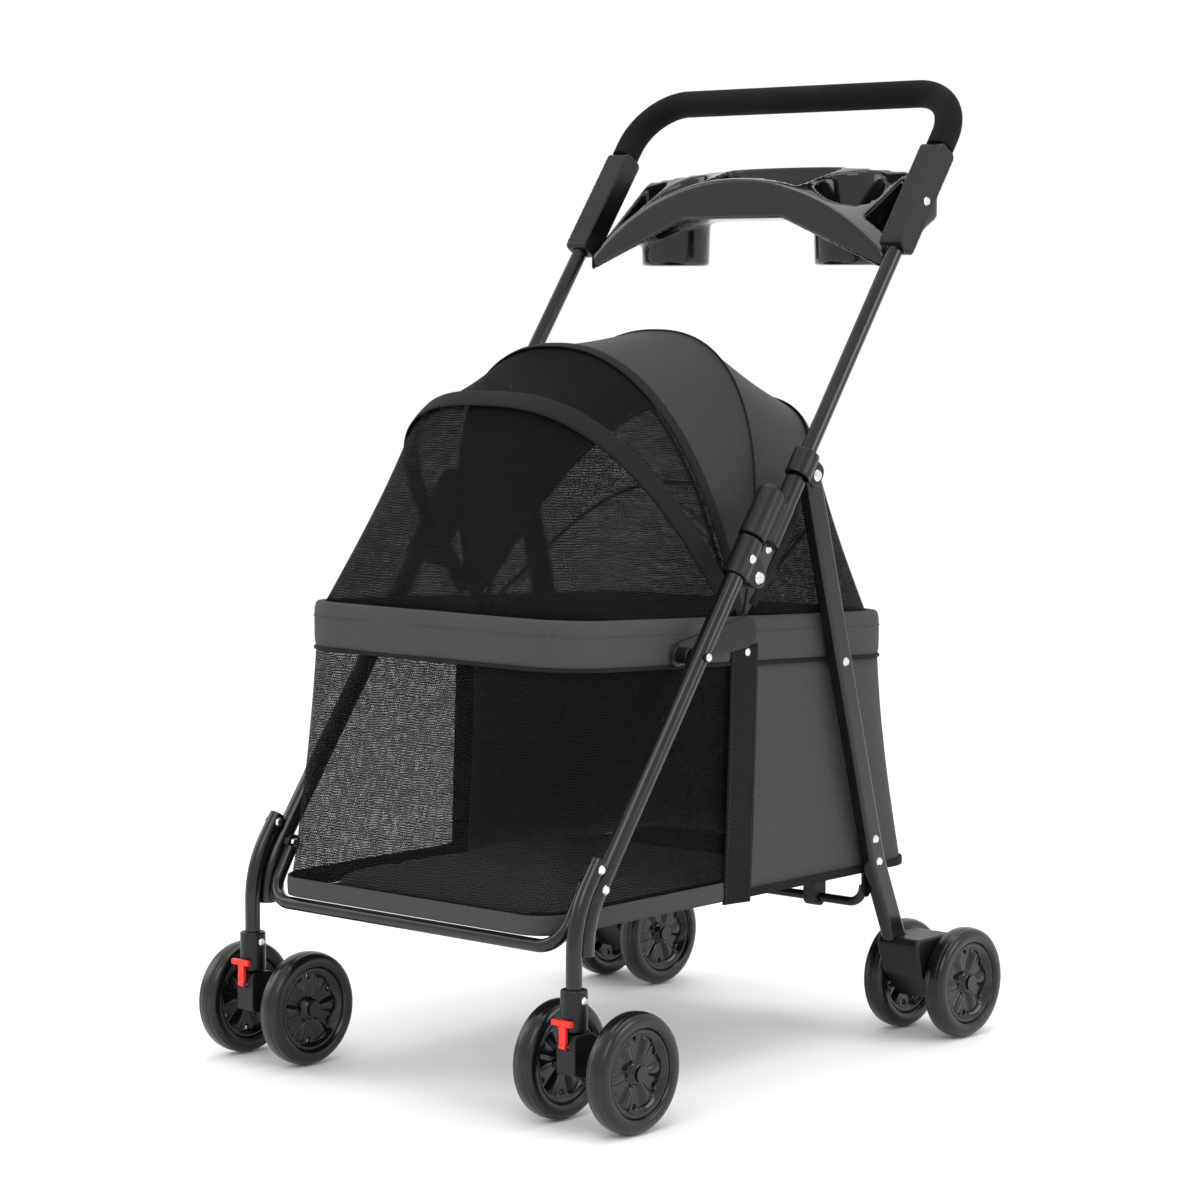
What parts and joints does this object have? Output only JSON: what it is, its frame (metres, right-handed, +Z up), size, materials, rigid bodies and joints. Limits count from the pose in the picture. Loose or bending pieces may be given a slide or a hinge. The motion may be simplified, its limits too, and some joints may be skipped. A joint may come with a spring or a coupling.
{
  "type": "pet stroller",
  "caption": "Folding pet stroller with a mesh-walled fabric cabin, hooped canopy, twin swivel front casters, sloping push handle and a parent tray with cup holders.",
  "frame": {"origin": "on the ground under the middle of the whole stroller, open and standing", "axes": "+Z up, the front of the stroller towards -Y, the pusher's left towards +X"},
  "size_m": [0.552, 0.661, 1],
  "materials": {
    "tube_black": "gloss black paint",
    "plastic_black": "satin black moulding",
    "steel_dark": "black painted steel",
    "rivet_steel": "bright steel",
    "grip_foam": "fine foam",
    "tray_gloss": "gloss black moulding",
    "lever_red": "red moulding",
    "hoop_plastic": "black rod",
    "webbing": "black webbing",
    "cabin_cloth": "dark grey woven cloth and mesh",
    "canopy_cloth": "charcoal cloth",
    "board_plastic": "black board",
    "mat_cloth": "dark grey padded cloth",
    "tyre_black": "moulded tyre",
    "hub_black": "black moulding"
  },
  "bodies": {
    "front_frame": {"front_leg_left": "tube_black", "front_leg_right": "tube_black", "lower_tubes": "tube_black", "leg_brackets": "plastic_black", "floor_front_bar": "tube_black", "caster_sockets": "plastic_black", "front_rivets": "rivet_steel", "hinge_pins": "rivet_steel"},
    "handle": {"handle_tube": "tube_black", "handle_grip": "grip_foam", "handle_ends": "steel_dark", "tray": "tray_gloss", "tray_clamps": "plastic_black", "tray_screws": "rivet_steel", "saddles": "plastic_black", "handle_rivets": "rivet_steel"},
    "rear_frame": {"rear_leg_left": "tube_black", "rear_leg_right": "tube_black", "rear_crossbar": "tube_black", "rear_wheel_bracket_left": "plastic_black", "rear_wheel_bracket_right": "plastic_black", "rear_axles": "rivet_steel", "rear_rivets": "rivet_steel"},
    "rim": {"rim_frame": "plastic_black", "rim_pivots": "plastic_black", "hoop_middle": "hoop_plastic", "hoop_rear": "hoop_plastic", "side_straps": "webbing", "cabin_fabric": "cabin_cloth", "canopy_fabric": "canopy_cloth"},
    "canopy_front": {"hoop_front": "hoop_plastic"},
    "canopy_second": {"hoop_second": "hoop_plastic"},
    "floor": {"floor_board": "board_plastic", "floor_mat": "mat_cloth"},
    "lock_slider_left": {"lock_slider_left": "plastic_black"},
    "caster_left": {"caster_body_left": "plastic_black", "caster_axle_left": "rivet_steel"},
    "swivel_lock_left": {"swivel_lock_left": "lever_red"},
    "brake_left": {"brake_pedal_left": "plastic_black"},
    "wheel_front_left_outer": {"tyre_front_left_outer": "tyre_black", "hub_front_left_outer": "hub_black"},
    "wheel_front_left_inner": {"tyre_front_left_inner": "tyre_black", "hub_front_left_inner": "hub_black"},
    "wheel_rear_left_outer": {"tyre_rear_left_outer": "tyre_black", "hub_rear_left_outer": "hub_black"},
    "wheel_rear_left_inner": {"tyre_rear_left_inner": "tyre_black", "hub_rear_left_inner": "hub_black"},
    "lock_slider_right": {"lock_slider_right": "plastic_black"},
    "caster_right": {"caster_body_right": "plastic_black", "caster_axle_right": "rivet_steel"},
    "swivel_lock_right": {"swivel_lock_right": "lever_red"},
    "brake_right": {"brake_pedal_right": "plastic_black"},
    "wheel_front_right_outer": {"tyre_front_right_outer": "tyre_black", "hub_front_right_outer": "hub_black"},
    "wheel_front_right_inner": {"tyre_front_right_inner": "tyre_black", "hub_front_right_inner": "hub_black"},
    "wheel_rear_right_outer": {"tyre_rear_right_outer": "tyre_black", "hub_rear_right_outer": "hub_black"},
    "wheel_rear_right_inner": {"tyre_rear_right_inner": "tyre_black", "hub_rear_right_inner": "hub_black"}
  },
  "joints": [
    {"name": "handle_fold", "type": "hinge", "parent": "front_frame", "child": "handle", "pos_m": [0, -0.03795, 0.50065], "axis": [-1, 0, 0], "range_deg": [0, 140], "deforming": ["cabin_fabric", "canopy_fabric", "side_straps"]},
    {"name": "rear_frame_fold", "type": "hinge", "parent": "handle", "child": "rear_frame", "pos_m": [0, 0.0723, 0.59582], "axis": [-1, 0, 0], "range_deg": [-92.8, 0]},
    {"name": "rim_fold", "type": "hinge", "parent": "front_frame", "child": "rim", "pos_m": [0, -0.1194, 0.42953], "axis": [-1, 0, 0], "range_deg": [0, 95.2], "deforming": ["cabin_fabric", "canopy_fabric", "side_straps"]},
    {"name": "floor_fold", "type": "hinge", "parent": "rear_frame", "child": "floor", "pos_m": [0, 0.185, 0.145], "axis": [-1, 0, 0], "range_deg": [0, 44.7]},
    {"name": "canopy_fold", "type": "hinge", "parent": "rim", "child": "canopy_front", "pos_m": [0, -0.015, 0.45], "axis": [-1, 0, 0], "range_deg": [0, 36], "deforming": ["canopy_fabric"]},
    {"name": "canopy_second_fold", "type": "hinge", "parent": "rim", "child": "canopy_second", "pos_m": [0, -0.015, 0.45], "axis": [-1, 0, 0], "range_deg": [0, 16.1]},
    {"name": "lock_slide_left", "type": "slide", "parent": "handle", "child": "lock_slider_left", "axis": [0, 0.5807, 0.8141], "range_m": [0, 0.02], "stiffness_N_per_m": 300, "springref_m": -0.004},
    {"name": "caster_swivel_left", "type": "hinge", "parent": "front_frame", "child": "caster_left", "pos_m": [0.218, -0.304, 0.1], "axis": [0, 0, 1], "continuous": true},
    {"name": "swivel_lock_tip_left", "type": "hinge", "parent": "caster_left", "child": "swivel_lock_left", "pos_m": [0.218, -0.319, 0.083], "axis": [1, 0, 0], "range_deg": [0, 25]},
    {"name": "brake_press_left", "type": "hinge", "parent": "rear_frame", "child": "brake_left", "pos_m": [0.21, 0.307, 0.088], "axis": [-1, 0, 0], "range_deg": [0, 25]},
    {"name": "spin_front_left_outer", "type": "hinge", "parent": "caster_left", "child": "wheel_front_left_outer", "pos_m": [0.2635, -0.273, 0.0575], "axis": [1, 0, 0], "continuous": true},
    {"name": "spin_front_left_inner", "type": "hinge", "parent": "caster_left", "child": "wheel_front_left_inner", "pos_m": [0.1725, -0.273, 0.0575], "axis": [1, 0, 0], "continuous": true},
    {"name": "spin_rear_left_outer", "type": "hinge", "parent": "rear_frame", "child": "wheel_rear_left_outer", "pos_m": [0.249, 0.273, 0.0575], "axis": [1, 0, 0], "continuous": true},
    {"name": "spin_rear_left_inner", "type": "hinge", "parent": "rear_frame", "child": "wheel_rear_left_inner", "pos_m": [0.171, 0.273, 0.0575], "axis": [1, 0, 0], "continuous": true},
    {"name": "lock_slide_right", "type": "slide", "parent": "handle", "child": "lock_slider_right", "axis": [0, 0.5807, 0.8141], "range_m": [0, 0.02], "stiffness_N_per_m": 300, "springref_m": -0.004},
    {"name": "caster_swivel_right", "type": "hinge", "parent": "front_frame", "child": "caster_right", "pos_m": [-0.218, -0.304, 0.1], "axis": [0, 0, 1], "continuous": true},
    {"name": "swivel_lock_tip_right", "type": "hinge", "parent": "caster_right", "child": "swivel_lock_right", "pos_m": [-0.218, -0.319, 0.083], "axis": [1, 0, 0], "range_deg": [0, 25]},
    {"name": "brake_press_right", "type": "hinge", "parent": "rear_frame", "child": "brake_right", "pos_m": [-0.21, 0.307, 0.088], "axis": [-1, 0, 0], "range_deg": [0, 25]},
    {"name": "spin_front_right_outer", "type": "hinge", "parent": "caster_right", "child": "wheel_front_right_outer", "pos_m": [-0.2635, -0.273, 0.0575], "axis": [1, 0, 0], "continuous": true},
    {"name": "spin_front_right_inner", "type": "hinge", "parent": "caster_right", "child": "wheel_front_right_inner", "pos_m": [-0.1725, -0.273, 0.0575], "axis": [1, 0, 0], "continuous": true},
    {"name": "spin_rear_right_outer", "type": "hinge", "parent": "rear_frame", "child": "wheel_rear_right_outer", "pos_m": [-0.249, 0.273, 0.0575], "axis": [1, 0, 0], "continuous": true},
    {"name": "spin_rear_right_inner", "type": "hinge", "parent": "rear_frame", "child": "wheel_rear_right_inner", "pos_m": [-0.171, 0.273, 0.0575], "axis": [1, 0, 0], "continuous": true}
  ],
  "couplings": [
    {"joint": "rear_frame_fold", "follows": "handle_fold", "ratio": -0.66172},
    {"joint": "rim_fold", "follows": "handle_fold", "ratio": 0.67881},
    {"joint": "floor_fold", "follows": "handle_fold", "ratio": 0.31802},
    {"joint": "canopy_second_fold", "follows": "canopy_fold", "ratio": 0.44444}
  ]
}
